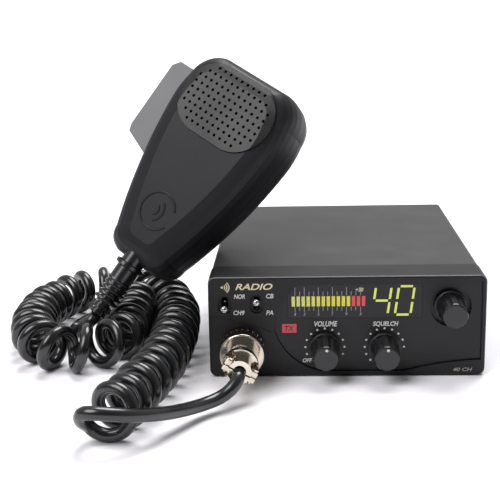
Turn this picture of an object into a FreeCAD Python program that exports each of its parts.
"""Compact mobile transceiver with a push-to-talk handset on a curly cord.

Units are millimetres.  The origin is the centre of the radio's base, on the surface
it stands on.  +Z is up, the controls face -Y and the sockets face +Y.
"""
import FreeCAD, Part
import math
import os

V = FreeCAD.Vector

# ---- driving sizes of the radio ------------------------------------------------
RADIO_W = 122.0            # width of the front bezel
RADIO_H = 46.5             # height of the cabinet with its bezel
RADIO_D = 155.0            # bezel face to rear panel face
BEZEL_DEPTH = 18.5         # how far the moulded bezel wraps back
BEZEL_WALL = 2.4
BEZEL_FACE = 3.0           # thickness of the bezel's front wall
BEZEL_LIFT = 0.3           # bezel clears the standing surface by this much
BEZEL_CORNER = 3.2
BEZEL_RIM = 1.1            # rounded rim around the face
COVER_INSET = 0.5          # sheet covers sit inside the bezel's outline
COVER_T = 1.0              # sheet metal thickness
COVER_CORNER = 2.2
COVER_SPLIT = 0.52         # height share where the two covers meet
COVER_SEAM = 0.3
FASCIA_LEFT = -31.7        # outermost point of the fascia's swept left end
FASCIA_EDGE = 0.8          # flat of the bezel between its rim and the fascia
FASCIA_TOP = 3.0           # bezel above the fascia
FASCIA_LOW = 2.6           # bezel below the fascia
FASCIA_RISE = 7.6          # height of the fascia's lower edge at its right end
PANEL_RECESS = 1.2         # fascia panel lies this deep in the bezel face
PANEL_T = 2.0
PANEL_FLANGE = 1.6
REAR_T = 3.0
FIN_T = 1.6
FIN_OUT = 4.0
FIN_COUNT = 9

# ---- controls, as x and z on the face -------------------------------------------
VOLUME_AT = (-9.6, 13.6)
SQUELCH_AT = (16.7, 13.5)
CHANNEL_AT = (45.6, 31.8)
KNOB_R = 6.4
KNOB_TIP_R = 5.6
KNOB_SKIRT_R = 7.1
KNOB_SKIRT_T = 1.8
KNOB_OUT = 16.0            # knob face above the fascia panel
CHANNEL_KNOB_OUT = 14.0
KNOB_FLUTES = 8
FLUTE_R = 2.4
FLUTE_DEPTH = 0.55
SHAFT_R = 3.0
SHAFT_DEEP = 15.0          # shaft's inner end behind the fascia panel's face
WELL_R = 9.0
WELL_DEPTH = 3.0
BUSH_R = 3.6
RUN_CLEAR = 0.05           # radial clearance of a running fit
EASY_CLEAR = 0.3           # clearance where nothing is located

TOGGLE_X = (-53.7, -39.6)
TOGGLE_Z = 34.0
TOGGLE_DISH = (5.8, 8.6)
TOGGLE_DISH_DEPTH = 1.4
TOGGLE_SLOT = (3.0, 6.6)
TOGGLE_TIP_R = 1.75
TOGGLE_STEM_R = 1.0
TOGGLE_OUT = 2.6           # ball centre in front of the bezel face
TOGGLE_BALL_R = 1.7
TOGGLE_PIVOT_IN = 4.0      # pivot behind the bezel face
TOGGLE_THROW = 13.0

METER_X0 = -23.4
METER_PITCH = 2.2
METER_YELLOW = 12
METER_RED = 3
METER_BAR_W = 1.5
METER_Z = (32.5, 37.1)
DIGIT_X = (15.4, 25.4)
DIGIT_Z = 34.9
DIGIT_H = 13.0
DIGIT_W = 6.8
DIGIT_STROKE = 1.0
DIGIT_SLANT = 0.13
SEGMENT_GAP = 0.25
WINDOW_X = (-26.0, 33.0)
WINDOW_Z = (27.0, 43.0)
WINDOW_EDGE = 1.0          # fascia left between the window and the fascia's own outline
WINDOW_T = 1.2
TX_AT = (-25.3, 22.5)
TX_SIZE = (6.6, 4.2)

# ---- microphone socket and plug --------------------------------------------------
JACK_AT = (-46.0, 14.0)
JACK_THREAD_R = 7.9
JACK_FLANGE_R = 8.6
JACK_FLANGE_T = 1.0
JACK_OUT = 7.0
JACK_BORE_R = 6.0
RING_R = 9.8
RING_LEN = 9.6
RING_LIP = 1.6
RING_KNURLS = 24
PLUG_R = 7.1
PLUG_END = 24.0            # plug shell's end in front of the bezel
PLUG_COLLAR_R = 7.7
CLAMP_LEN = 6.5
CLAMP_R = 5.0
CLAMP_EAR = 7.4
PIN_R = 1.0

# ---- cord -------------------------------------------------------------------------
CORD_D = 5.6
COIL_D = 22.0              # outside of the curly part

# ---- handset ----------------------------------------------------------------------
MIC_LEN = 107.0
MIC_W = 66.0
MIC_W_END = 38.0
MIC_WIDEST = 76.0          # height above the lower end where it is widest
MIC_SIDE_BULGE = 2.4       # the tapering sides bow out by this much
MIC_WALL = 2.2
MIC_FRONT_TOP = 17.5
MIC_FRONT_END = 12.0
MIC_BACK_TOP = 18.5
MIC_BACK_END = 17.0
MIC_TOP_R = 15.0
MIC_END_R = 9.0
MIC_FRONT_EDGE = 11.0      # width of the rounding round the front face
MIC_BACK_EDGE = 5.5        # width of the rounding round the back face
SPLIT_GAP = 0.2
GRILLE_S = 85.3
GRILLE_W = 52.0
GRILLE_H = 36.0
GRILLE_CORNER = 17.5
GRILLE_T = 1.6
GRILLE_PROUD = 0.9
GRILLE_PITCH = 3.5
GRILLE_HOLE_R = 0.75
KEY_S = (45.0, 93.5)
KEY_OUT = 11.6
KEY_W = 13.0
KEY_SLOPE = 6.8
KEY_PIVOT_R = 1.5
KEY_PIVOT_T = -20.5        # trunnion, left of the handset's mid plane
KEY_PIVOT_S = 48.5         # trunnion, above the lower end
KEY_SWING = 1.4            # room above the key for its end to swing in
SWITCH_T = -18.5           # outer face of the talk switch
BOOT_LEN = 30.0
BOOT_R = 5.7
BOOT_TIP_R = 4.1
BOOT_COLLAR_R = 8.6
BOOT_COLLAR_T = 4.0
BOOT_RIBS = 5
BOOT_N = 4.0               # boot axis in front of the handset's mid plane
HANG_R = 7.0
HANG_STEM_R = 3.2
HANG_OUT = 6.5
HANG_S = 62.0

# handset pose: where its lower end lies, its long axis and how far its face is turned
MIC_FOOT = V(-99.0, -31.75, 40.8)
MIC_AXIS = V(0.5816, 0.2263, 0.7813)
MIC_TURN = 24.0
VIEW_SIDE = V(0.045, -0.968, 0.247)

# ---- rear and inside -----------------------------------------------------------------
ANT_AT = (38.0, 26.0)
ANT_R = 7.9
ANT_OUT = 13.0
ANT_FLANGE = 25.0
ANT_BORE_R = 5.6
POWER_AT = (-40.0, 15.0)
POWER_SIZE = (19.0, 11.0)
POWER_DEEP = 11.0
JACKS_X = (-12.0, 10.0)
JACKS_Z = 15.0
JACK35_R = 1.8
BRACKET_Y = 24.0
BRACKET_Z = 27.0
BRACKET_HOLE_R = 2.1
BRACKET_R = 5.0
SPEAKER_AT = (0.0, 32.0)
SPEAKER_R = 25.0
SPEAKER_H = 12.0
BOARD_Z = 19.0
BOARD_T = 1.6
SCREW_R = 1.5
SCREW_HEAD_R = 2.8
SCREW_HEAD_T = 1.1

# ---- derived values ---------------------------------------------------------------
FRONT_Y = -RADIO_D / 2
BACK_Y = RADIO_D / 2
PANEL_Y = FRONT_Y + PANEL_RECESS
BEZEL_BACK = FRONT_Y + BEZEL_DEPTH
COVER_W = RADIO_W - 2 * COVER_INSET
COVER_TOP = RADIO_H - COVER_INSET
SPLIT_Z = RADIO_H * COVER_SPLIT
REAR_FACE = BACK_Y - FIN_OUT
REAR_IN = REAR_FACE - REAR_T
CORD_R = CORD_D / 2
COIL_R = COIL_D / 2
FORWARD = V(0, -1, 0)
UP = V(0, 0, 1)

NODES = {}


def add(name, *solids):
    """Keep one named piece, made of one or more separate solids."""
    loose = [s for shape in solids for s in shape.Solids]
    NODES[name] = loose[0] if len(loose) == 1 else Part.makeCompound(loose)


def box(x0, x1, y0, y1, z0, z1):
    return Part.makeBox(x1 - x0, y1 - y0, z1 - z0, V(x0, y0, z0))


def rod(radius, start, direction, length):
    return Part.makeCylinder(radius, length, start, direction)


def tube(outer, inner, start, direction, length):
    return rod(outer, start, direction, length).cut(rod(inner, start, direction, length))


def rounded_block(x0, x1, y0, y1, z0, z1, radius):
    """Block whose four edges along Y are rounded."""
    block = box(x0, x1, y0, y1, z0, z1)
    along = [e for e in block.Edges if abs(e.tangentAt(e.FirstParameter).y) > 0.99]
    return block.makeFillet(radius, along)


def turned(profile, at, direction):
    """Solid of revolution: profile is (distance along the axis, radius) pairs."""
    outline = [V(r, 0, h) for h, r in profile]
    wire = Part.makePolygon(outline + [outline[0]])
    solid = Part.Face(wire).revolve(V(0, 0, 0), UP, 360)
    solid.Placement = FreeCAD.Placement(at, FreeCAD.Rotation(UP, direction))
    return solid


def face_point(at, depth):
    """Point on the face at (x, z), depth behind the bezel's front."""
    return V(at[0], FRONT_Y + depth, at[1])


def hexagon(radius, start, direction, length):
    corners = []
    for k in range(7):
        angle = math.radians(60 * k)
        corners.append(V(radius * math.cos(angle), radius * math.sin(angle), 0))
    prism = Part.Face(Part.makePolygon(corners)).extrude(V(0, 0, length))
    prism.Placement = FreeCAD.Placement(start, FreeCAD.Rotation(UP, direction))
    return prism


def arc3(a, b, c):
    return Part.Arc(a, b, c).toShape()


def line(a, b):
    return Part.LineSegment(a, b).toShape()


# ---- fascia -----------------------------------------------------------------------
def fascia_outline(y):
    """Outline of the recessed fascia: a swept left end and a rising lower right edge."""
    left = FASCIA_LEFT
    right = RADIO_W / 2 - BEZEL_RIM - FASCIA_EDGE
    top = RADIO_H - FASCIA_TOP
    low = FASCIA_LOW
    rise = FASCIA_RISE
    mid = RADIO_H * 0.46

    def p(x, z):
        return V(x, y, z)

    start = p(left + 9.5, top)
    waist = p(left, mid)
    foot = p(left + 20.0, low)
    edges = [
        line(p(right, top), start),
        arc3(start, p(left + 3.0, top - 9.0), waist),
        arc3(waist, p(left + 5.2, low + 9.0), foot),
        line(foot, p(26.0, low)),
        arc3(p(26.0, low), p(42.0, (low + rise) / 2 + 0.9), p(right, rise)),
        line(p(right, rise), p(right, top)),
    ]
    return Part.Face(Part.Wire(edges))


def fascia_block(y0, y1, grow):
    face = fascia_outline(y0)
    if grow:
        face = face.makeOffset2D(grow)
    return face.extrude(V(0, y1 - y0, 0))


def front_bezel():
    half = RADIO_W / 2
    shell = rounded_block(-half, half, FRONT_Y, BEZEL_BACK, BEZEL_LIFT, RADIO_H, BEZEL_CORNER)
    rim = [e for e in shell.Edges if abs(e.BoundBox.YMax - FRONT_Y) < 0.01]
    shell = shell.makeFillet(BEZEL_RIM, rim)
    hollow = rounded_block(-half + BEZEL_WALL, half - BEZEL_WALL, FRONT_Y + BEZEL_FACE, BEZEL_BACK,
                           BEZEL_LIFT + BEZEL_WALL, RADIO_H - BEZEL_WALL, BEZEL_CORNER - 1.5)
    shell = shell.cut(hollow)
    shell = shell.cut(fascia_block(FRONT_Y - 1, FRONT_Y + BEZEL_FACE + 1, 0))
    for x in TOGGLE_X:
        shell = shell.cut(toggle_dish(x))
    shell = shell.cut(rod(JACK_THREAD_R + EASY_CLEAR, face_point(JACK_AT, -1), -FORWARD, BEZEL_FACE + 2))
    add("front_bezel", shell)


def toggle_dish(x):
    """Oval dish with a slot through its floor for the lever."""
    parts = []
    for size, y0, y1 in ((TOGGLE_DISH, FRONT_Y - 1, FRONT_Y + TOGGLE_DISH_DEPTH),
                         (TOGGLE_SLOT, FRONT_Y, FRONT_Y + BEZEL_FACE + 1)):
        half_w, half_h = size[0] / 2, size[1] / 2
        straight = half_h - half_w
        parts.append(box(x - half_w, x + half_w, y0, y1, TOGGLE_Z - straight, TOGGLE_Z + straight))
        for sign in (-1, 1):
            parts.append(rod(half_w, V(x, y0, TOGGLE_Z + sign * straight), -FORWARD, y1 - y0))
    return parts[0].multiFuse(parts[1:])


def fascia_panel():
    fit = 0.1
    plate = fascia_block(PANEL_Y, PANEL_Y + PANEL_T, -fit)
    flange_y = FRONT_Y + BEZEL_FACE + 0.05
    edge = BEZEL_RIM + FASCIA_EDGE - BEZEL_WALL
    flange = fascia_block(flange_y, flange_y + 1.0, PANEL_FLANGE)
    inside = RADIO_W / 2 - BEZEL_WALL - 0.1
    keep = rounded_block(-inside, inside, PANEL_Y, PANEL_Y + 9, BEZEL_LIFT + BEZEL_WALL + 0.1,
                         RADIO_H - BEZEL_WALL - 0.1, BEZEL_CORNER - 1.5)
    web = fascia_block(PANEL_Y + PANEL_T - 0.1, flange_y + 0.5, min(-fit, edge - 0.3))
    panel = plate.fuse(web).fuse(flange.common(keep))
    panel = panel.cut(window_block(PANEL_Y - 1, flange_y + 3, 0))
    width, height = TX_SIZE[0] / 2, TX_SIZE[1] / 2
    panel = panel.cut(box(TX_AT[0] - width, TX_AT[0] + width, PANEL_Y - 1, flange_y + 3,
                          TX_AT[1] - height, TX_AT[1] + height))
    well = rod(WELL_R + 1.2, V(CHANNEL_AT[0], PANEL_Y, CHANNEL_AT[1]), -FORWARD, WELL_DEPTH + 1.2)
    panel = panel.fuse(well.common(keep))
    panel = panel.cut(rod(WELL_R, V(CHANNEL_AT[0], PANEL_Y - 1, CHANNEL_AT[1]), -FORWARD, WELL_DEPTH + 1))
    for at in (VOLUME_AT, SQUELCH_AT, CHANNEL_AT):
        panel = panel.cut(rod(BUSH_R + EASY_CLEAR, V(at[0], PANEL_Y - 1, at[1]), -FORWARD, 12))
    add("fascia_panel", panel.removeSplitter())


def window_block(y0, y1, fit):
    """Aperture of the display window, kept inside the fascia's own outline."""
    aperture = box(WINDOW_X[0] + fit, WINDOW_X[1] - fit, y0, y1, WINDOW_Z[0] + fit, WINDOW_Z[1] - fit)
    return aperture.common(fascia_block(y0, y1, -WINDOW_EDGE - fit))


def meter_bar(index, y0, y1, grow):
    x = METER_X0 + METER_PITCH * index
    half = METER_BAR_W / 2 + grow
    return box(x - half, x + half, y0, y1, METER_Z[0] - grow, METER_Z[1] + grow)


def digit_segment(centre_x, row, column, y0, y1, grow):
    """One light segment.  row and column place it in the slanted figure-eight grid."""
    half_w, half_h = DIGIT_W / 2, DIGIT_H / 2
    stroke = DIGIT_STROKE / 2 + grow
    if column == 0:
        z = DIGIT_Z + row * half_h
        reach = half_w - DIGIT_STROKE / 2 - SEGMENT_GAP + grow
        outline = [(-reach, z - stroke), (reach, z - stroke), (reach, z + stroke), (-reach, z + stroke)]
    else:
        x = column * half_w
        low = DIGIT_Z + (0 if row > 0 else -half_h) + DIGIT_STROKE / 2 + SEGMENT_GAP - grow
        high = DIGIT_Z + (half_h if row > 0 else 0) - DIGIT_STROKE / 2 - SEGMENT_GAP + grow
        outline = [(x - stroke, low), (x + stroke, low), (x + stroke, high), (x - stroke, high)]
    corners = [V(centre_x + x + (z - DIGIT_Z) * DIGIT_SLANT, y0, z) for x, z in outline]
    return Part.Face(Part.makePolygon(corners + [corners[0]])).extrude(V(0, y1 - y0, 0))


FOUR = ((1, -1), (1, 1), (0, 0), (-1, 1))
ZERO = ((1, 0), (1, -1), (1, 1), (-1, -1), (-1, 1), (-1, 0))


def lit_segments(y0, y1, grow):
    lit = []
    for centre_x, figure in zip(DIGIT_X, (FOUR, ZERO)):
        lit += [digit_segment(centre_x, row, column, y0, y1, grow) for row, column in figure]
    return lit


def display():
    fit = 0.08
    y0, y1 = PANEL_Y + 0.1, PANEL_Y + 0.1 + WINDOW_T
    window = window_block(y0, y1, fit)
    count = METER_YELLOW + METER_RED
    holes = [meter_bar(k, y0 - 1, y1 + 1, 0.04) for k in range(count)]
    holes += lit_segments(y0 - 1, y1 + 1, 0.04)
    add("display_window", window.cut(Part.makeCompound(holes)))
    bars = [meter_bar(k, y0 - 0.1, y1, 0) for k in range(count)]
    add("meter_segments_yellow", *bars[:METER_YELLOW])
    add("meter_segments_red", *bars[METER_YELLOW:])
    add("channel_digits", *lit_segments(y0 - 0.1, y1, 0))
    width, height = TX_SIZE[0] / 2 - fit, TX_SIZE[1] / 2 - fit
    add("tx_indicator", box(TX_AT[0] - width, TX_AT[0] + width, PANEL_Y - 0.3, PANEL_Y + PANEL_T,
                            TX_AT[1] - height, TX_AT[1] + height))
    board_y = PANEL_Y + 5.2
    board = box(-28.0, 34.0, board_y, board_y + BOARD_T, 22.5, RADIO_H - 4.5)
    for k in range(2):
        led = box(WINDOW_X[0] + 5 + k * 33, WINDOW_X[0] + 34 + k * 24, y1 + 0.1, board_y, 29.0, 41.0)
        board = board.fuse(led)
    add("display_board", board)


# ---- knobs and switches -------------------------------------------------------------
def knob(name, at, out, panel_depth, skirt):
    """Fluted tapered knob with its bore, and the shaft that turns with it."""
    root = V(at[0], FRONT_Y + panel_depth - 0.35, at[1])
    length = out - 0.35
    edge = 0.9
    profile = [(0, 0), (0, skirt), (KNOB_SKIRT_T, skirt), (KNOB_SKIRT_T + 0.4, KNOB_R),
               (length - edge, KNOB_TIP_R), (length - 0.3, KNOB_TIP_R - 0.3),
               (length, KNOB_TIP_R - edge), (length, 0)]
    body = turned(profile, root, FORWARD)
    lean = math.atan2(KNOB_R - KNOB_TIP_R, length)
    for k in range(KNOB_FLUTES):
        angle = math.radians(360 / KNOB_FLUTES * (k + 0.5))
        out_dir = V(math.cos(angle), 0, math.sin(angle))
        start = root + FORWARD * (KNOB_SKIRT_T + 0.4) + out_dir * (KNOB_R + FLUTE_R - FLUTE_DEPTH)
        along = FORWARD * math.cos(lean) - out_dir * math.sin(lean)
        body = body.cut(rod(FLUTE_R, start, along, length))
    body = body.cut(rod(SHAFT_R, root - FORWARD * 0.1, FORWARD, length * 0.62))
    add(name + "_knob", body)
    end_y = PANEL_Y + SHAFT_DEEP
    shaft_tip = root + FORWARD * (length * 0.62 - 0.4)
    shaft = rod(SHAFT_R - 0.01, shaft_tip, -FORWARD, end_y - shaft_tip.y)
    add(name + "_shaft", shaft)


def control_body(name, at, size, panel_back, bush_len):
    """Rotary control behind the panel: square can, bush and the bore its shaft runs in."""
    front = panel_back + 1.2
    back = PANEL_Y + SHAFT_DEEP + 2.0
    can = box(at[0] - size / 2, at[0] + size / 2, front, back, at[1] - size / 2, at[1] + size / 2)
    bush = rod(BUSH_R, V(at[0], panel_back - bush_len, at[1]), -FORWARD, front - panel_back + bush_len + 0.1)
    body = can.fuse(bush)
    bore_end = PANEL_Y + SHAFT_DEEP + 0.4
    bore = rod(SHAFT_R + RUN_CLEAR, V(at[0], panel_back - 4, at[1]), -FORWARD, bore_end - panel_back + 4)
    add(name, body.cut(bore))
    nut = hexagon(BUSH_R + 2.0, V(at[0], panel_back + 0.1, at[1]), -FORWARD, 1.0)
    return nut.cut(rod(BUSH_R + 0.02, V(at[0], panel_back - 1, at[1]), -FORWARD, 4))


def controls():
    nuts = []
    panel_back = FRONT_Y + BEZEL_FACE + 1.05
    for name, at, body in (("volume", VOLUME_AT, "volume_control"), ("squelch", SQUELCH_AT, "squelch_control")):
        knob(name, at, KNOB_OUT, PANEL_RECESS, KNOB_SKIRT_R)
        nuts.append(control_body(body, at, 14.0, panel_back, 2.6))
    knob("channel", CHANNEL_AT, CHANNEL_KNOB_OUT + WELL_DEPTH, PANEL_RECESS + WELL_DEPTH, KNOB_SKIRT_R)
    nuts.append(control_body("channel_switch", CHANNEL_AT, 15.0, PANEL_Y + WELL_DEPTH + 1.2, 1.1))
    inner = face_point(JACK_AT, BEZEL_FACE + 0.05)
    nut = hexagon(JACK_THREAD_R + 2.4, inner, -FORWARD, 1.8)
    nuts.append(nut.cut(rod(JACK_THREAD_R + 0.02, inner + FORWARD, -FORWARD, 4)))
    add("panel_nuts", *nuts)


def toggle_lever(name, x, tilt):
    """Ball-tipped lever on a trunnion along X, drawn upright and then tipped to its rest."""
    pivot = V(x, FRONT_Y + TOGGLE_PIVOT_IN, TOGGLE_Z)
    reach = TOGGLE_PIVOT_IN + TOGGLE_OUT
    stem = Part.makeCone(TOGGLE_STEM_R, TOGGLE_STEM_R * 0.8, reach, pivot, FORWARD)
    tip = Part.makeSphere(TOGGLE_TIP_R, pivot + FORWARD * reach)
    ball = Part.makeSphere(TOGGLE_BALL_R, pivot)
    tail = rod(0.8, pivot, -FORWARD, 3.4)
    lever = stem.multiFuse([tip, ball, tail])
    lever.rotate(pivot, V(1, 0, 0), tilt)
    add(name, lever)


def toggle_switches():
    bodies = []
    for x, name, tilt in zip(TOGGLE_X, ("left_toggle_lever", "right_toggle_lever"), (TOGGLE_THROW, -TOGGLE_THROW)):
        toggle_lever(name, x, tilt)
        y0 = FRONT_Y + BEZEL_FACE + 0.05
        body = box(x - 4.5, x + 4.5, y0, y0 + 11.0, TOGGLE_Z - 6.5, TOGGLE_Z + 6.5)
        pivot = V(x, FRONT_Y + TOGGLE_PIVOT_IN, TOGGLE_Z)
        body = body.cut(Part.makeSphere(TOGGLE_BALL_R + RUN_CLEAR, pivot))
        body = body.cut(box(x - 1.5, x + 1.5, y0 - 1, pivot.y, TOGGLE_Z - 2.6, TOGGLE_Z + 2.6))
        body = body.cut(box(x - 1.2, x + 1.2, pivot.y, pivot.y + 4.4, TOGGLE_Z - 2.4, TOGGLE_Z + 2.4))
        bodies.append(body)
    add("toggle_switches", *bodies)


# ---- microphone socket, plug ----------------------------------------------------------
def mic_socket():
    front = face_point(JACK_AT, -JACK_OUT)
    barrel = rod(JACK_THREAD_R, front, -FORWARD, JACK_OUT + BEZEL_FACE + 5.0)
    flange = rod(JACK_FLANGE_R, face_point(JACK_AT, -JACK_FLANGE_T - 0.05), -FORWARD, JACK_FLANGE_T)
    socket = barrel.fuse(flange).cut(rod(JACK_BORE_R, front - V(0, 1, 0), -FORWARD, JACK_OUT))
    add("mic_jack", socket)
    insert = rod(JACK_BORE_R - 0.1, face_point(JACK_AT, -PLUG_END + 7), -FORWARD, PLUG_END - 7 - 1.6)
    add("plug_insert", insert)


def plug_shell():
    start = face_point(JACK_AT, -JACK_OUT - 0.1)
    bore = JACK_BORE_R
    shell = rod(JACK_THREAD_R - 0.1, start, FORWARD, 1.2)
    shell = shell.fuse(rod(PLUG_R, start, FORWARD, PLUG_END - JACK_OUT - 0.1))
    collar = face_point(JACK_AT, -PLUG_END + 2.6)
    shell = shell.fuse(rod(PLUG_COLLAR_R, collar, FORWARD, 2.6))
    shell = shell.cut(rod(bore, start - FORWARD, FORWARD, PLUG_END - JACK_OUT - 2.0))
    shell = shell.cut(rod(CORD_R + 0.6, start, FORWARD, PLUG_END))
    add("plug_shell", shell)


def coupling_ring():
    """Knurled ring: it screws over the socket and its rear lip holds the plug in."""
    start = face_point(JACK_AT, -JACK_FLANGE_T - 0.35)
    length = RING_LEN
    ring = rod(RING_R, start, FORWARD, length)
    ring = ring.makeFillet(0.7, [e for e in ring.Edges if isinstance(e.Curve, Part.Circle)])
    ring = ring.cut(rod(JACK_THREAD_R + RUN_CLEAR, start, FORWARD, length - RING_LIP))
    ring = ring.cut(rod(PLUG_R + RUN_CLEAR, start, FORWARD, length + 1))
    grooves = []
    for k in range(RING_KNURLS):
        angle = math.radians(360 / RING_KNURLS * k)
        side = V(math.cos(angle), 0, math.sin(angle)) * (RING_R + 0.25)
        grooves.append(rod(0.55, start + side + FORWARD * 1.6, FORWARD, length - 4.4))
    add("plug_coupling_ring", ring.cut(Part.makeCompound(grooves)))


def cord_clamp():
    """Split saddle behind the plug, drawn together over the cord by two screws."""
    start = face_point(JACK_AT, -PLUG_END - 0.05)
    saddle = rod(CLAMP_R, start, FORWARD, CLAMP_LEN)
    x, z = JACK_AT
    ears = box(x - CLAMP_EAR, x + CLAMP_EAR, start.y - CLAMP_LEN + 1.0, start.y - 1.2, z - 2.4, z + 2.4)
    clamp = saddle.fuse(ears)
    clamp = clamp.cut(rod(CORD_R + 0.02, start - FORWARD, FORWARD, CLAMP_LEN + 2))
    clamp = clamp.cut(box(x - 9, x + 9, start.y - CLAMP_LEN - 1, start.y + 1, z - 0.35, z + 0.35))
    screws = []
    middle = start.y - 1.2 - (CLAMP_LEN - 2.2) / 2
    for sign in (-1, 1):
        sx = x + sign * (CLAMP_EAR - 1.5)
        clamp = clamp.cut(rod(0.8, V(sx, middle, z - 5), UP, 10))
        screw = rod(0.78, V(sx, middle, z - 3.6), UP, 6.0)
        screw = screw.fuse(rod(1.45, V(sx, middle, z + 2.42), UP, 1.0))
        screws.append(screw)
    clamp.rotate(V(x, 0, z), V(0, 1, 0), 28)
    group = Part.makeCompound(screws)
    group.rotate(V(x, 0, z), V(0, 1, 0), 28)
    add("plug_clamp", clamp)
    add("plug_screws", group)


# ---- cabinet -----------------------------------------------------------------------------
def cover_blank(inset, y0, y1):
    half = COVER_W / 2 - inset
    return rounded_block(-half, half, y0, y1, inset, COVER_TOP - inset, COVER_CORNER - inset * 0.6)


def covers():
    y0, y1 = BEZEL_BACK + 0.1, REAR_FACE - 0.1
    skin = cover_blank(0, y0, y1).cut(cover_blank(COVER_T, y0 - 1, y1 + 1))
    upper = box(-RADIO_W, RADIO_W, y0 - 1, y1 + 1, SPLIT_Z, RADIO_H + 5)
    lower = box(-RADIO_W, RADIO_W, y0 - 1, y1 + 1, -5, SPLIT_Z - COVER_SEAM)
    top = skin.common(upper)
    bottom = skin.common(lower)
    slots = []
    for row in range(-4, 5):
        reach = math.sqrt((SPEAKER_R - 3.0) ** 2 - (row * 5.0) ** 2) if abs(row) * 5 < SPEAKER_R - 3 else 0
        if reach > 4:
            y = SPEAKER_AT[1] + row * 5.0
            slots.append(box(-reach, reach, y - 1.1, y + 1.1, -1, COVER_T + 1))
    bottom = bottom.cut(Part.makeCompound(slots))
    holes = [rod(SCREW_R + 0.2, at - d * 4, d, 8) for at, d in screw_places()]
    inserts = [rod(BRACKET_R - 1.0 + 0.1, V(s * (RADIO_W / 2 + 1), BRACKET_Y, BRACKET_Z), V(-s, 0, 0), 5) for s in (-1, 1)]
    cutters = Part.makeCompound(holes + inserts)
    add("top_cover", top.cut(cutters))
    add("bottom_cover", bottom.cut(cutters))


def screw_places():
    """Centres of the screw seats on the covers, with the way each head faces."""
    places = []
    half = COVER_W / 2
    for side in (-1, 1):
        for y in (-44.0, 58.0):
            places.append((V(side * half, y, SPLIT_Z + 10.0), V(side, 0, 0)))
            places.append((V(side * half, y, SPLIT_Z - 14.0), V(side, 0, 0)))
    return places


def case_screws():
    screws = []
    for at, d in screw_places():
        shank = rod(SCREW_R, at - d * 5.0, d, 5.1)
        head = turned([(0, 0), (0, SCREW_HEAD_R), (SCREW_HEAD_T * 0.5, SCREW_HEAD_R),
                       (SCREW_HEAD_T, SCREW_HEAD_R * 0.62), (SCREW_HEAD_T, 0)], at + d * 0.02, d)
        cross = box(-1.3, 1.3, -0.28, 0.28, 0.35, 3).fuse(box(-0.28, 0.28, -1.3, 1.3, 0.35, 3))
        cross.Placement = FreeCAD.Placement(at, FreeCAD.Rotation(UP, d))
        screws.append(shank.fuse(head).cut(cross))
    add("case_screws", *screws)


def bracket_inserts():
    inserts = []
    for side in (-1, 1):
        out = V(side, 0, 0)
        face = V(side * COVER_W / 2, BRACKET_Y, BRACKET_Z)
        body = rod(BRACKET_R - 1.0, face - out * 4.5, out, 4.9)
        body = body.fuse(rod(BRACKET_R, face + out * 0.02, out, 0.4))
        inserts.append(body.cut(rod(BRACKET_HOLE_R, face - out * 6, out, 12)))
    add("bracket_inserts", *inserts)


def chassis():
    inner = COVER_W / 2 - COVER_T - 0.15
    y0, y1 = BEZEL_BACK + 0.1, REAR_IN - 0.1
    z0, z1 = COVER_T + 3.0, COVER_TOP - COVER_CORNER - 0.4
    rails = [box(s * inner - (2.0 if s > 0 else 0), s * inner + (0 if s > 0 else 2.0), y0, y1, z0, z1) for s in (-1, 1)]
    cross = box(-inner, inner, y0, y0 + 1.5, z0, z1)
    window = box(-inner + 9, inner - 9, y0 - 1, y0 + 3, z0 + 4, z1 - 3)
    frame = rails[0].fuse(rails[1]).fuse(cross.cut(window))
    shelf = box(-inner, inner, y0, y1, BOARD_Z - 2.2, BOARD_Z - 1.0)
    opening = box(-inner + 5, inner - 5, y0 - 1, y1 + 1, BOARD_Z - 4, BOARD_Z)
    frame = frame.fuse(shelf.cut(opening))
    holes = [rod(SCREW_R + 0.02, at - d * 6, d, 8) for at, d in screw_places()]
    for s in (-1, 1):
        holes.append(rod(BRACKET_R - 0.9, V(s * RADIO_W / 2, BRACKET_Y, BRACKET_Z), V(-s, 0, 0), 9))
    add("chassis_frame", frame.cut(Part.makeCompound(holes)))


def rear_panel():
    lap = COVER_T + 0.1
    half = COVER_W / 2 - lap
    plate = rounded_block(-half, half, REAR_IN, REAR_FACE, lap, COVER_TOP - lap, COVER_CORNER - lap * 0.6)
    fins = []
    for k in range(FIN_COUNT):
        x = (k / (FIN_COUNT - 1) - 0.5) * (2 * half - 8.0)
        fins.append(box(x - FIN_T / 2, x + FIN_T / 2, REAR_FACE - 0.1, BACK_Y, 33.5, COVER_TOP - lap - 1.5))
    fins = [f for f in fins if abs(f.BoundBox.Center.x - ANT_AT[0]) > ANT_FLANGE / 2 + 1.5]
    panel = plate.multiFuse(fins)
    flange = ANT_FLANGE / 2
    panel = panel.cut(rod(ANT_R, V(ANT_AT[0], REAR_IN - 1, ANT_AT[1]), V(0, 1, 0), REAR_T + 2))
    for x in JACKS_X:
        panel = panel.cut(rod(4.1, V(x, REAR_IN - 1, JACKS_Z), V(0, 1, 0), REAR_T + 2))
    width, height = POWER_SIZE[0] / 2 + 0.1, POWER_SIZE[1] / 2 + 0.1
    panel = panel.cut(box(POWER_AT[0] - width, POWER_AT[0] + width, REAR_IN - 1, REAR_FACE + 1,
                          POWER_AT[1] - height, POWER_AT[1] + height))
    for dx in (-1, 1):
        for dz in (-1, 1):
            at = V(ANT_AT[0] + dx * (flange - 3.4), REAR_IN - 1, ANT_AT[1] + dz * (flange - 3.4))
            panel = panel.cut(rod(1.2, at, V(0, 1, 0), REAR_T + 2))
    add("rear_panel", panel)


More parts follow.
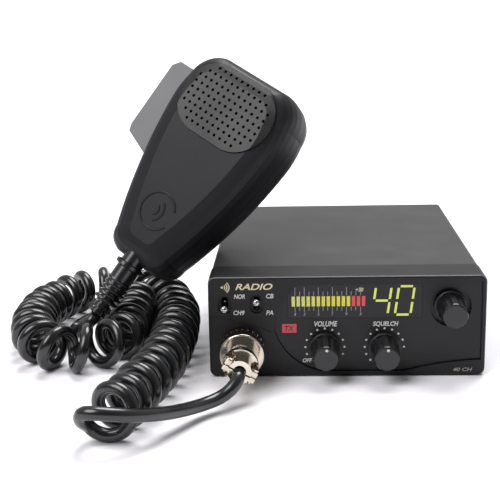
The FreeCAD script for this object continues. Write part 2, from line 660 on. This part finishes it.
def antenna_socket():
    """Flanged coaxial aerial socket with four screws in one turned and milled body."""
    x, z = ANT_AT
    flange = ANT_FLANGE / 2
    face = REAR_FACE + 0.03
    back = V(0, 1, 0)
    plate = rounded_block(x - flange, x + flange, face, face + 1.8, z - flange, z + flange, 2.0)
    body = plate.fuse(rod(ANT_R, V(x, face, z), back, ANT_OUT))
    body = body.fuse(rod(ANT_R - 0.6, V(x, REAR_IN - 2.0, z), back, REAR_T + 2.5))
    body = body.cut(rod(ANT_BORE_R, V(x, REAR_IN - 3, z), back, 40))
    for dx in (-1, 1):
        for dz in (-1, 1):
            at = V(x + dx * (flange - 3.4), face, z + dz * (flange - 3.4))
            body = body.fuse(turned([(0, 0), (0, 2.2), (2.4, 2.2), (3.0, 1.4), (3.0, 0)], at, back))
            body = body.fuse(rod(1.18, at - back * 5, back, 5.2))
    add("antenna_socket", body)
    core = rod(ANT_BORE_R - 0.02, V(x, REAR_IN - 2.0, z), back, REAR_T + 2.0 + ANT_OUT - 8.0)
    core = core.fuse(rod(3.4, V(x, REAR_IN - 2, z), back, REAR_T + ANT_OUT - 1.5))
    core = core.cut(rod(2.0, V(x, REAR_IN + 4, z), back, 40))
    add("antenna_insulator", core)


def power_inlet():
    x, z = POWER_AT
    width, height = POWER_SIZE[0] / 2, POWER_SIZE[1] / 2
    y1 = REAR_FACE + 1.6
    y0 = y1 - POWER_DEEP - 2.0
    body = box(x - width, x + width, y0, y1, z - height, z + height)
    lip = box(x - width - 1.5, x + width + 1.5, REAR_FACE + 0.03, y1, z - height - 1.5, z + height + 1.5)
    body = body.fuse(lip)
    body = body.cut(box(x - width + 1.6, x + width - 1.6, y0 + 2.0, y1 + 1, z - height + 1.6, z + height - 1.6))
    pins = []
    for dx in (-5.0, 0.0, 5.0):
        pins.append(rod(PIN_R, V(x + dx, y0 - 3.0, z), V(0, 1, 0), POWER_DEEP + 3.0))
    body = body.cut(Part.makeCompound(pins))
    add("power_inlet", body)
    add("power_pins", *pins)


def speaker_jacks():
    jacks = []
    for x in JACKS_X:
        start = V(x, REAR_IN - 9.0, JACKS_Z)
        back = V(0, 1, 0)
        jack = rod(4.0, start, back, 9.0 + REAR_T + 2.2)
        jack = jack.fuse(hexagon(5.6, V(x, REAR_FACE + 0.03, JACKS_Z), back, 1.6))
        jack = jack.cut(rod(JACK35_R, start + back * 2, back, 40))
        jacks.append(jack)
    add("speaker_jacks", *jacks)


# ---- inside the cabinet -----------------------------------------------------------------
def speaker():
    x, y = SPEAKER_AT
    floor = COVER_T + 0.1
    rim = tube(SPEAKER_R, SPEAKER_R - 4.0, V(x, y, floor), UP, 1.4)
    basket = Part.makeCone(SPEAKER_R - 2.0, 11.0, 6.0, V(x, y, floor + 1.4), UP)
    basket = basket.cut(Part.makeCone(SPEAKER_R - 3.2, 9.8, 6.0, V(x, y, floor + 1.4), UP))
    add("speaker_frame", rim.fuse(basket))
    cone = Part.makeCone(SPEAKER_R - 4.4, 7.0, 5.0, V(x, y, floor + 0.5), UP)
    cone = cone.cut(Part.makeCone(SPEAKER_R - 5.2, 6.2, 5.0, V(x, y, floor + 0.3), UP))
    dome = Part.makeSphere(7.2, V(x, y, floor + 5.6), UP, 0, 90, 360)
    dome = dome.common(box(x - 9, x + 9, y - 9, y + 9, floor, floor + 7.2))
    add("speaker_cone", cone.fuse(dome))
    add("speaker_magnet", rod(12.5, V(x, y, floor + 7.45), UP, SPEAKER_H - 5.5))


def circuit():
    inner = COVER_W / 2 - COVER_T - 2.6
    y0, y1 = BEZEL_BACK + 2.0, REAR_IN - 14.0
    board = box(-inner, inner, y0, y1, BOARD_Z, BOARD_Z + BOARD_T)
    add("main_board", board)
    top = BOARD_Z + BOARD_T
    cans = []
    for row in range(3):
        for column in range(4):
            x, y = -38.0 + column * 11.0, -38.0 + row * 15.0
            can = box(x - 3.5, x + 3.5, y - 3.5, y + 3.5, top, top + 11.0)
            can = can.cut(rod(1.6, V(x, y, top + 9.6), UP, 3))
            cans.append(can)
    add("if_transformers", *cans)
    caps = []
    for x, y, radius, height in ((14, -34, 4.0, 12), (25, -34, 4.0, 12), (37, -32, 5.0, 14), (14, -20, 3.2, 9),
                                 (24, -20, 3.2, 9), (40, 40, 6.5, 18), (24, 42, 5.0, 14), (-40, 38, 4.0, 11)):
        caps.append(turned([(0, 0), (0, radius), (height - 0.6, radius), (height, radius - 0.6), (height, 0)],
                           V(x, y, top), UP))
    add("capacitors", *caps)
    parts = []
    for x in (-27.0, -1.0, 21.0):
        tab = box(x - 5, x + 5, REAR_IN - 1.4, REAR_IN - 0.1, 20.5, 36.0)
        tab = tab.fuse(box(x - 5, x + 5, REAR_IN - 4.6, REAR_IN - 1.4, 20.5, 30.0))
        for dx in (-2.54, 0, 2.54):
            tab = tab.fuse(box(x + dx - 0.4, x + dx + 0.4, REAR_IN - 3.4, REAR_IN - 2.9, 14.0, 20.6))
        parts.append(tab)
    add("power_transistors", *parts)
    x, y = 34.0, 4.0
    coil = box(x - 9, x + 9, y - 7, y + 7, top + 3.0, top + 14.0)
    core = box(x - 12, x + 12, y - 4, y + 4, top, top + 17.0)
    core = core.cut(box(x - 9.05, x + 9.05, y - 5, y + 5, top + 2.95, top + 14.05))
    add("audio_transformer", core.fuse(coil))


# ---- handset ------------------------------------------------------------------------------
def mic_axes():
    """Right, up and outward axes of the handset in its resting pose."""
    up = V(MIC_AXIS).normalize()
    side = V(VIEW_SIDE)
    side = (side - up * side.dot(up)).normalize()
    right = up.cross(side)
    turn = math.radians(MIC_TURN)
    normal = side * math.cos(turn) - right * math.sin(turn)
    across = right * math.cos(turn) + side * math.sin(turn)
    return across, up, normal


def mic_place(shape):
    """Carry a piece from the handset's own axes (X across, Z up, -Y outward) to its pose."""
    across, up, normal = mic_axes()
    back = -normal
    matrix = FreeCAD.Matrix(across.x, back.x, up.x, MIC_FOOT.x,
                            across.y, back.y, up.y, MIC_FOOT.y,
                            across.z, back.z, up.z, MIC_FOOT.z,
                            0, 0, 0, 1)
    placed = shape.copy()
    placed.Placement = FreeCAD.Placement(matrix).multiply(shape.Placement)
    return placed


def mic_add(name, *shapes):
    add(name, *[mic_place(s) for s in shapes])


def mic_depth(s, front, inset):
    """Outward position of the front or back skin at height s."""
    share = s / MIC_LEN
    if front:
        return -(MIC_FRONT_END + (MIC_FRONT_TOP - MIC_FRONT_END) * share) + inset
    return MIC_BACK_END + (MIC_BACK_TOP - MIC_BACK_END) * share - inset


def mic_section(depth_share, draw_in, wall):
    """Closed outline of the handset.  depth_share runs from 0, the front skin, to 1, the back."""
    half = MIC_W / 2 - draw_in - wall
    end = MIC_W_END / 2 - draw_in - wall
    top = MIC_LEN - draw_in - wall
    low = draw_in + wall
    top_r = MIC_TOP_R - (draw_in + wall) * 0.5
    end_r = MIC_END_R - (draw_in + wall) * 0.4

    def p(t, s):
        near, far = mic_depth(s, True, wall), mic_depth(s, False, wall)
        return V(t, near + (far - near) * depth_share, s)

    waist = (MIC_WIDEST + top - top_r) / 2
    k = 1 - math.sqrt(0.5)
    top_t = half - top_r * 0.92
    points = []
    for sign in (1, -1):
        points.append([p(sign * (end - end_r), low), p(sign * (end - end_r * k), low + end_r * k),
                       p(sign * end, low + end_r),
                       p(sign * half, MIC_WIDEST), p(sign * half, waist), p(sign * (half - 1.2), top - top_r),
                       p(sign * (top_t + top_r * 0.58), top - top_r * 0.34), p(sign * top_t, top)])
    right, left = points
    flank = (low + end_r + MIC_WIDEST) / 2
    bow = (end + half) / 2 + MIC_SIDE_BULGE
    edges = [line(left[0], right[0]), arc3(*right[0:3]), arc3(right[2], p(bow, flank), right[3]),
             arc3(*right[3:6]), arc3(*right[5:8]), line(right[7], left[7]), arc3(*left[7:4:-1]),
             arc3(*left[5:2:-1]), arc3(left[3], p(-bow, flank), left[2]), arc3(*left[2::-1])]
    return Part.Wire(edges)


def mic_form(wall):
    """Pillow-shaped body, lofted from the back outline through the middle to the front one."""
    front = ((0.0, 1.0), (0.03, 0.68), (0.07, 0.44), (0.13, 0.24), (0.21, 0.11), (0.32, 0.03))
    back = ((0.7, 0.05), (0.83, 0.2), (0.93, 0.5), (1.0, 1.0))
    steps = [(share, MIC_FRONT_EDGE * part) for share, part in front] + [(0.46, 0.0)]
    steps += [(share, MIC_BACK_EDGE * part) for share, part in back]
    return Part.makeLoft([mic_section(share, draw, wall) for share, draw in steps], True, True)


def grille_plug(grow):
    """Rounded square prism through the front of the handset, where the grille sits."""
    half_w, half_h = GRILLE_W / 2 + grow, GRILLE_H / 2 + grow
    r = GRILLE_CORNER + grow
    block = box(-half_w, half_w, -3 * MIC_FRONT_TOP, -4, GRILLE_S - half_h, GRILLE_S + half_h)
    along = [e for e in block.Edges if abs(e.tangentAt(e.FirstParameter).y) > 0.99]
    return block.makeFillet(r, along)


def handset():
    outer, inner = mic_form(0), mic_form(MIC_WALL)
    reach = 60.0
    front_half = box(-reach, reach, -reach, -SPLIT_GAP / 2, -10, MIC_LEN + 10)
    back_half = box(-reach, reach, SPLIT_GAP / 2, reach, -10, MIC_LEN + 10)
    slot = box(-reach, KEY_PIVOT_T - 1.0, -KEY_W / 2 - EASY_CLEAR, KEY_W / 2 + EASY_CLEAR,
               KEY_S[0] - EASY_CLEAR, KEY_S[1] + KEY_SWING)
    gland = rod(BOOT_R + 0.1, V(0, -BOOT_N, -5), UP, 12)
    shell = outer.cut(inner).cut(slot).cut(gland)
    front = shell.common(front_half).cut(grille_plug(0.15))
    back = shell.common(back_half)
    bosses = []
    for t, s in ((-17.0, 22.0), (17.0, 22.0), (-19.0, 100.0), (19.0, 100.0)):
        depth = mic_depth(s, False, 1.0)
        bosses.append(rod(3.0, V(t, 1.0, s), V(0, 1, 0), depth - 1.0).common(outer))
    holes = [rod(1.3, V(b.BoundBox.Center.x, -4, b.BoundBox.Center.z), V(0, 1, 0), 40) for b in bosses]
    stem_hole = rod(HANG_STEM_R + 0.02, V(0, 0, HANG_S), V(0, 1, 0), 40)
    back = back.multiFuse(bosses).cut(Part.makeCompound(holes)).cut(stem_hole)
    for hole in holes:
        s = hole.BoundBox.Center.z
        back = back.cut(rod(2.7, V(hole.BoundBox.Center.x, mic_depth(s, False, 2.0), s), V(0, 1, 0), 9))
    lug = box(-MIC_W / 2, KEY_PIVOT_T + 3.2, KEY_W / 2 + EASY_CLEAR, MIC_BACK_TOP,
              KEY_PIVOT_S - 3.0, KEY_PIVOT_S + 3.0).common(outer)
    front_lug = box(-MIC_W / 2, KEY_PIVOT_T + 3.2, -MIC_FRONT_TOP, -KEY_W / 2 - EASY_CLEAR,
                    KEY_PIVOT_S - 3.0, KEY_PIVOT_S + 3.0).common(outer)
    bearing = rod(KEY_PIVOT_R + RUN_CLEAR, V(KEY_PIVOT_T, -KEY_W / 2 - 3, KEY_PIVOT_S), V(0, 1, 0), KEY_W + 6)
    mic_add("mic_front_shell", front.fuse(front_lug).cut(bearing))
    mic_add("mic_back_shell", back.fuse(lug).cut(bearing))
    screws = []
    for hole in holes:
        t, s = hole.BoundBox.Center.x, hole.BoundBox.Center.z
        seat_y = mic_depth(s, False, 2.0)
        screws.append(rod(2.4, V(t, seat_y + 0.03, s), V(0, 1, 0), 1.2).fuse(rod(1.28, V(t, 2.0, s), V(0, 1, 0), seat_y - 1.5)))
    mic_add("mic_screws", *screws)
    grille()
    mic_inside()
    talk_key()
    hang_button()
    boot()


def grille():
    """Crowned grille that follows the front skin and stands slightly proud of it."""
    body = mic_form(-GRILLE_PROUD).common(grille_plug(0)).cut(mic_form(GRILLE_T))
    holes = []
    count = int(GRILLE_W / 2 / GRILLE_PITCH)
    for i in range(-count, count + 1):
        for j in range(-count, count + 1):
            t, s = i * GRILLE_PITCH, j * GRILLE_PITCH
            if abs(t) ** 3 + abs(s * GRILLE_W / GRILLE_H) ** 3 < (GRILLE_W / 2 - 3.2) ** 3:
                holes.append(rod(GRILLE_HOLE_R, V(t, -50, GRILLE_S + s), V(0, 1, 0), 46))
    mic_add("mic_grille", body.cut(Part.makeCompound(holes)))


def mic_inside():
    y = mic_depth(GRILLE_S, True, MIC_WALL)
    mic_add("mic_capsule", rod(7.0, V(0, y + 0.8, GRILLE_S), V(0, 1, 0), 6.0))
    mic_add("mic_board", box(-16, 16, 1.2, 2.6, 30, 78))
    mic_add("ptt_switch", box(SWITCH_T, SWITCH_T + 8.0, -6, 0.9, 56, 78))


def talk_key():
    """Push-to-talk bar that rocks about a trunnion near its lower end."""
    wall = -MIC_W / 2
    out = wall - KEY_OUT
    low, high = KEY_S
    inner_t = wall + MIC_WALL + 3.0
    outline = [(KEY_PIVOT_T - 1.2, low + 0.4), (KEY_PIVOT_T - 6.5, low + 0.4), (out + 1.2, low + KEY_SLOPE - 0.5),
               (out, low + KEY_SLOPE + 3), (out, high - 3.5), (out + 3.0, high), (wall + 2.5, high),
               (inner_t, high - 1.5), (inner_t, low + 9.0), (KEY_PIVOT_T - 1.2, low + 7.0)]
    corners = [V(t, -KEY_W / 2, s) for t, s in outline]
    bar = Part.Face(Part.makePolygon(corners + [corners[0]])).extrude(V(0, KEY_W, 0))
    soft = [e for e in bar.Edges if e.BoundBox.XMax < wall - 2.0]
    bar = bar.makeFillet(1.1, soft)
    arm = box(inner_t - 0.1, SWITCH_T - 2.0, -3, 3, 68, 74)
    pin = rod(KEY_PIVOT_R, V(KEY_PIVOT_T, -KEY_W / 2 - 2.6, KEY_PIVOT_S), V(0, 1, 0), KEY_W + 5.2)
    boss = rod(KEY_PIVOT_R + 1.1, V(KEY_PIVOT_T, -KEY_W / 2, KEY_PIVOT_S), V(0, 1, 0), KEY_W)
    mic_add("ptt_key", bar.multiFuse([arm, boss, pin]))
    spring = tube(2.6, 1.7, V(inner_t + 0.1, 0, 61), V(1, 0, 0), SWITCH_T - inner_t - 0.2)
    mic_add("ptt_spring", spring)


def hang_button():
    skin = mic_depth(HANG_S, False, 0)
    back = V(0, 1, 0)
    profile = [(-MIC_WALL - 2.5, 0), (-MIC_WALL - 2.5, HANG_STEM_R), (HANG_OUT - 2.4, HANG_STEM_R),
               (HANG_OUT - 1.8, HANG_R), (HANG_OUT - 0.6, HANG_R), (HANG_OUT, HANG_R - 1.4), (HANG_OUT, 0)]
    mic_add("hang_button", turned(profile, V(0, skin, HANG_S), back))


def boot():
    """Moulded strain relief: collar, smooth sleeve, then ribs down to the cord."""
    top = 6.5
    down = V(0, 0, -1)
    at = V(0, -BOOT_N, top)
    sleeve = top + BOOT_LEN * 0.45
    profile = [(0, 0), (0, BOOT_R), (top - 0.3, BOOT_R), (top + 1.2, BOOT_R), (top + 1.6, BOOT_COLLAR_R - 1.2),
               (top + BOOT_COLLAR_T - 0.8, BOOT_COLLAR_R - 1.2), (top + BOOT_COLLAR_T, BOOT_R), (sleeve, BOOT_R)]
    ribbed = top + BOOT_LEN - sleeve
    pitch = ribbed / BOOT_RIBS
    for k in range(BOOT_RIBS):
        radius = BOOT_R - 0.1 - (BOOT_R - BOOT_TIP_R) * (k + 1) / BOOT_RIBS
        start = sleeve + k * pitch
        profile += [(start, radius - 0.9), (start + pitch * 0.35, radius - 0.9),
                    (start + pitch * 0.35, radius), (start + pitch, radius)]
    profile.append((top + BOOT_LEN, 0))
    solid = turned(profile, at, down)
    mic_add("cord_boot", solid)


# ---- cord -----------------------------------------------------------------------------------
def boot_tip():
    across, up, normal = mic_axes()
    return MIC_FOOT + normal * BOOT_N - up * BOOT_LEN


TAIL = [V(-131.5, -37.0, 6.0), V(-135.0, -22.0, 3.1), V(-133.5, -6.0, 2.9), V(-126.0, 6.5, 2.9),
        V(-114.5, 11.5, 2.9), V(-107.8, 5.3, 3.3)]
COIL = [V(-104.5, 5.0, 11.0), V(-102.9, -27.0, 11.0), V(-103.2, -51.0, 11.0), V(-113.5, -67.5, 11.0),
        V(-130.0, -70.5, 11.0), V(-144.0, -58.0, 11.0), V(-151.0, -35.0, 11.0), V(-153.0, -10.0, 11.0), V(-145.5, 15.0, 11.0),
        V(-129.0, 35.0, 11.0), V(-105.0, 33.0, 11.0), V(-88.0, 10.0, 11.0), V(-80.2, -22.0, 11.0),
        V(-79.4, -56.0, 11.0), V(-81.0, -90.0, 11.0), V(-88.0, -120.0, 11.0), V(-95.0, -147.0, 11.0)]
LEAD = [V(-103.0, -145.5, 14.5), V(-105.5, -151.5, 16.8), V(-102.0, -157.8, 17.6), V(-92.5, -158.5, 16.3),
        V(-80.5, -149.5, 12.2), V(-70.5, -135.5, 7.6), V(-60.5, -123.0, 4.9), V(-51.5, -117.5, 6.8)]


def cord_path(points):
    """Straight runs joined by tangent arcs, each arc as large as its two runs allow."""
    edges, start, radii = [], points[0], []
    for before, corner, after in zip(points, points[1:], points[2:]):
        back, ahead = before - corner, after - corner
        turn = math.pi - back.getAngle(ahead)
        cut = 0.45 * min(back.Length, ahead.Length)
        radii.append(cut / math.tan(turn / 2))
        enter = corner + V(back).normalize() * cut
        leave = corner + V(ahead).normalize() * cut
        bisector = (V(back).normalize() + V(ahead).normalize()).normalize()
        to_centre = radii[-1] / math.cos(turn / 2)
        middle = corner + bisector * (to_centre - radii[-1])
        edges += [line(start, enter), arc3(enter, middle, leave)]
        start = leave
    edges.append(line(start, points[-1]))
    return Part.Wire(edges), radii


def cord_tube(name, points, radius):
    path, radii = cord_path(points)
    direction = (points[1] - points[0]).normalize()
    ring = Part.Wire(Part.makeCircle(radius, points[0], direction))
    sweep = Part.BRepOffsetAPI.MakePipeShell(path)
    sweep.add(ring, False, False)
    sweep.build()
    sweep.makeSolid()
    solid = sweep.shape()
    share = solid.Volume / (math.pi * radius ** 2 * path.Length)
    print(name, "length", round(path.Length, 1), "volume share", round(share, 3),
          "radii", [round(r, 1) for r in radii])
    add(name, solid)


def cord():
    down = -mic_axes()[1]
    start = boot_tip() + down * 0.3
    cord_tube("cord_tail", [start, start + down * 8.0] + TAIL, CORD_R)
    cord_tube("cord_coil", COIL, COIL_R)
    plug_exit = face_point(JACK_AT, -PLUG_END - CLAMP_LEN - 0.1)
    cord_tube("cord_lead", LEAD + [plug_exit + FORWARD * 7.0, plug_exit], CORD_R)


def main():
    front_bezel()
    fascia_panel()
    display()
    controls()
    toggle_switches()
    mic_socket()
    plug_shell()
    coupling_ring()
    cord_clamp()
    covers()
    case_screws()
    bracket_inserts()
    chassis()
    rear_panel()
    antenna_socket()
    power_inlet()
    speaker_jacks()
    speaker()
    circuit()
    handset()
    cord()
    os.makedirs("parts", exist_ok=True)
    for name, shape in NODES.items():
        shape.exportStep("parts/" + name + ".step")
    print(len(NODES), "nodes")


main()
